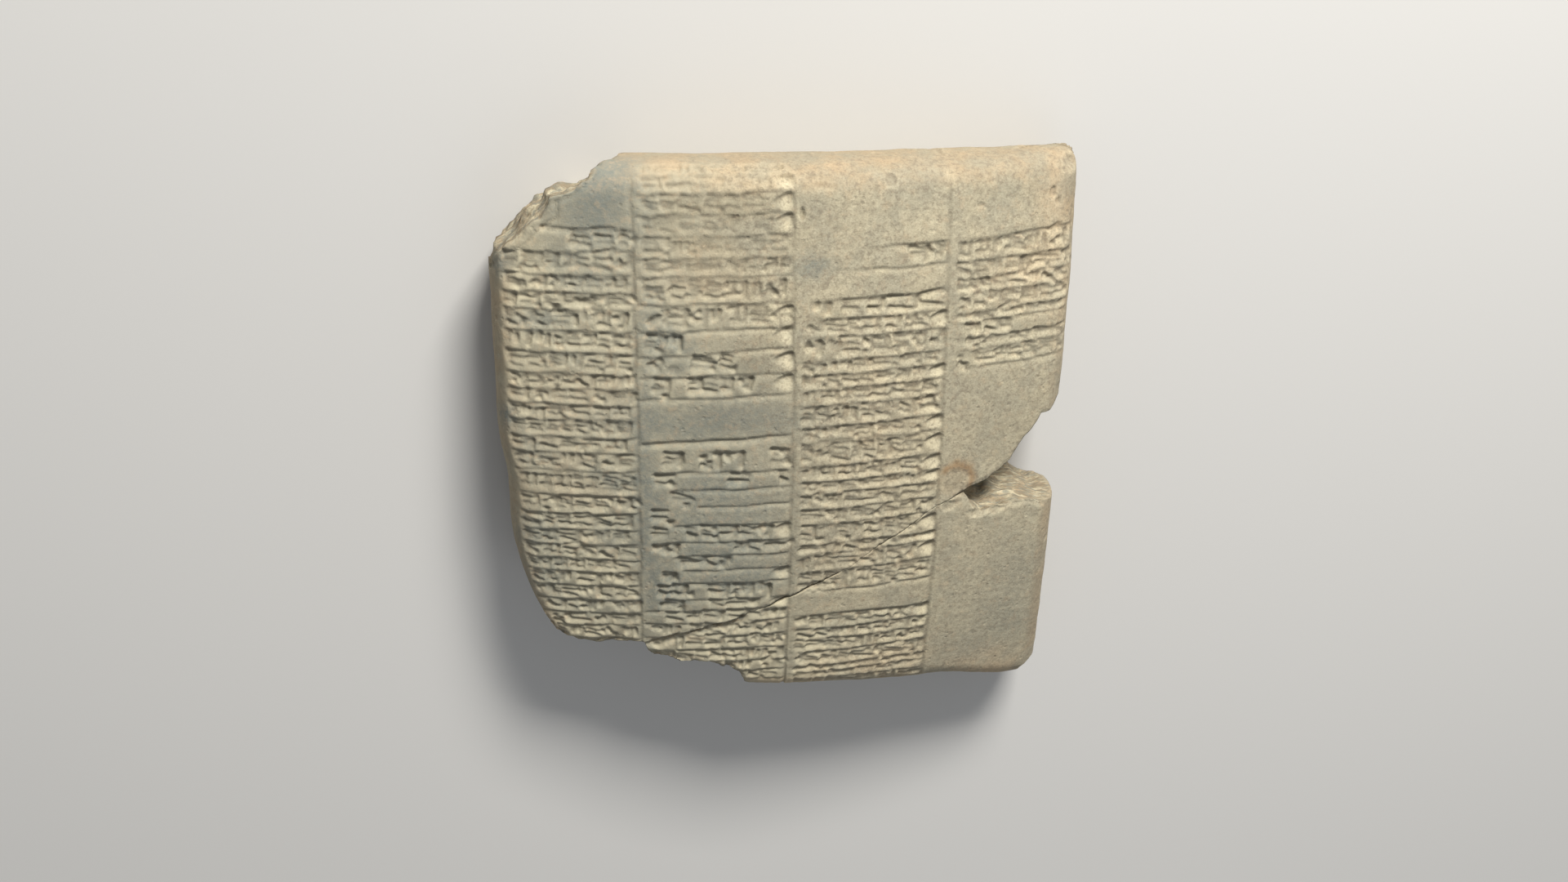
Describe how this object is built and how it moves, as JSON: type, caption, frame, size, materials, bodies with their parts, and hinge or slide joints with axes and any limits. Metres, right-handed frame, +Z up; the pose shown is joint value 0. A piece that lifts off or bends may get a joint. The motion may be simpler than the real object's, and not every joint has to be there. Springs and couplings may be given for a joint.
{
  "type": "cuneiform tablet",
  "caption": "Thick domed clay tablet with columns of wedge-stroke rows, broken across and rejoined, with lost corners and a notch at one edge.",
  "frame": {"origin": "on the surface that the tablet lies on, under the middle of its outline", "axes": "+X across the columns to the right, +Y towards the head of the columns, +Z up out of the written face"},
  "size_m": [0.1766, 0.1839, 0.0419],
  "materials": {
    "baked_clay": "matt, unglazed, buff to grey, with fine dark speckle",
    "baked_clay_foot": "matt, unglazed, buff to grey, with fine dark speckle"
  },
  "bodies": {
    "root": {"main_fragment": "baked_clay", "foot_fragment": "baked_clay_foot"}
  },
  "joints": []
}
